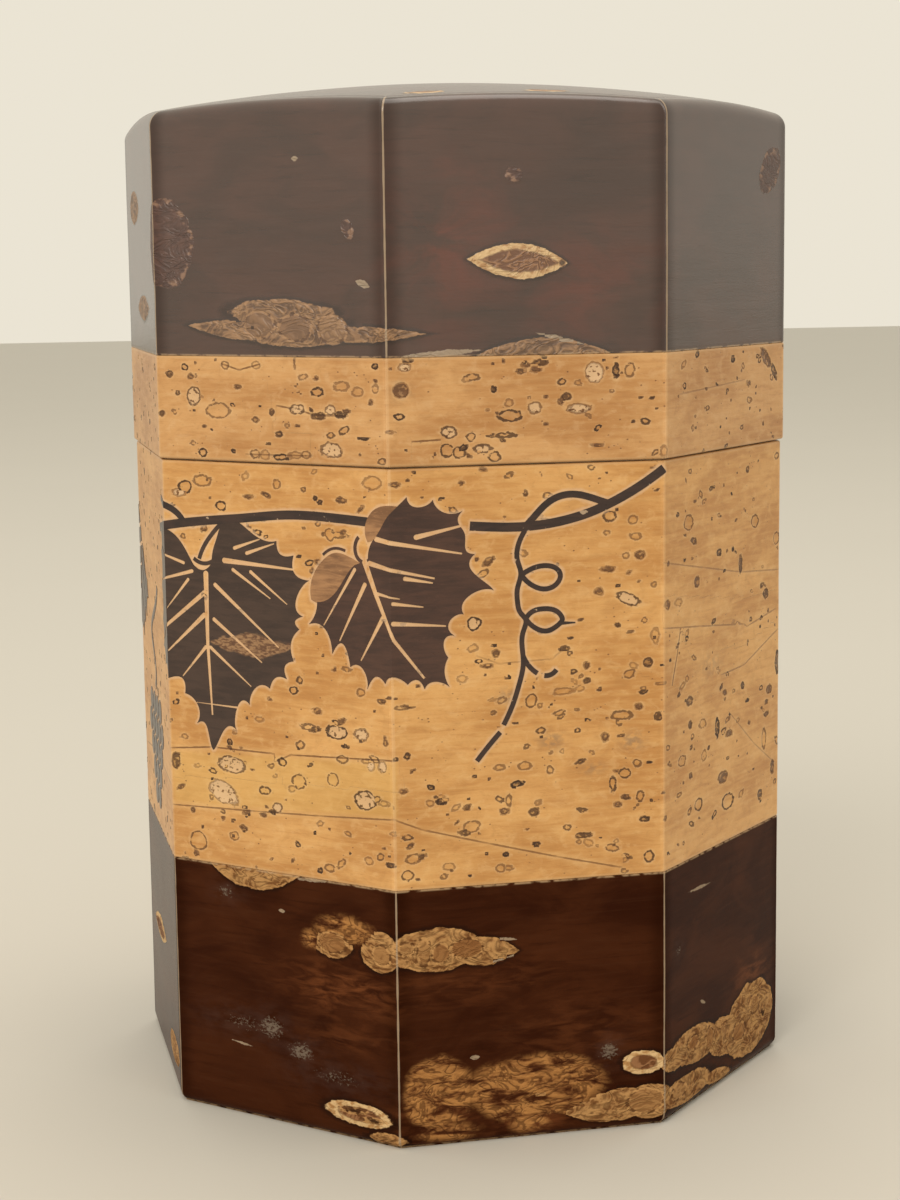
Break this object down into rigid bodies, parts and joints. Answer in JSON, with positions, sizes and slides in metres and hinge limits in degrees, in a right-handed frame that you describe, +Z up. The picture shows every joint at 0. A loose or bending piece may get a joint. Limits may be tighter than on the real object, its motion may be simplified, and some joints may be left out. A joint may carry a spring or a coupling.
{
  "type": "tea caddy",
  "caption": "Octagonal wooden tea caddy in dark and light cherry bark with inlaid vine leaves, a lift-off domed lid and an inner lid with a turned knob.",
  "frame": {"origin": "centre of the base, on the surface the caddy stands on", "axes": "+Z up along the caddy's axis and the way both lids lift; -Y out of the front side, so flats face X and Y"},
  "size_m": [0.076, 0.076, 0.12],
  "materials": {
    "core_wood": "matte",
    "sleeve_wood": "satin",
    "light_bark": "gloss",
    "dark_bark": "gloss",
    "inner_bark": "satin",
    "knob_wood": "gloss",
    "inlay_brown": "gloss",
    "inlay_dark": "gloss"
  },
  "bodies": {
    "body": {"base_bark": "dark_bark", "base_board": "core_wood", "body_bark_dark": "dark_bark", "body_bark_light": "light_bark", "body_stave_1": "core_wood", "body_stave_2": "core_wood", "body_stave_3": "core_wood", "body_stave_4": "core_wood", "body_stave_5": "core_wood", "body_stave_6": "core_wood", "body_stave_7": "core_wood", "body_stave_8": "core_wood", "branch": "inlay_dark", "grape_bunch": "inlay_dark", "grape_stalk": "inlay_dark", "leaf_back": "inlay_dark", "leaf_fold": "inlay_brown", "leaf_left": "inlay_dark", "leaf_lobe": "inlay_brown", "leaf_right": "inlay_dark", "sleeve_bark": "inner_bark", "sleeve_stave_1": "sleeve_wood", "sleeve_stave_2": "sleeve_wood", "sleeve_stave_3": "sleeve_wood", "sleeve_stave_4": "sleeve_wood", "sleeve_stave_5": "sleeve_wood", "sleeve_stave_6": "sleeve_wood", "sleeve_stave_7": "sleeve_wood", "sleeve_stave_8": "sleeve_wood", "tendril": "inlay_dark", "twig_left": "inlay_dark", "vine_left": "inlay_dark", "vine_right": "inlay_dark"},
    "lid": {"lid_bark_dark": "dark_bark", "lid_bark_light": "light_bark", "lid_stave_1": "core_wood", "lid_stave_2": "core_wood", "lid_stave_3": "core_wood", "lid_stave_4": "core_wood", "lid_stave_5": "core_wood", "lid_stave_6": "core_wood", "lid_stave_7": "core_wood", "lid_stave_8": "core_wood", "lid_top_bark": "dark_bark", "lid_top_board": "core_wood"},
    "inner_lid": {"inner_lid_bark": "inner_bark", "inner_lid_knob": "knob_wood", "inner_lid_plate": "sleeve_wood", "inner_lid_plug": "sleeve_wood"}
  },
  "joints": [
    {"name": "lid_lift", "type": "slide", "parent": "body", "child": "lid", "axis": [0, 0, 1], "range_m": [0, 0.1]},
    {"name": "inner_lid_lift", "type": "slide", "parent": "body", "child": "inner_lid", "axis": [0, 0, 1], "range_m": [0, 0.04]}
  ],
  "couplings": [
    {"joint": "inner_lid_lift", "follows": "lid_lift", "ratio": 0.4}
  ]
}
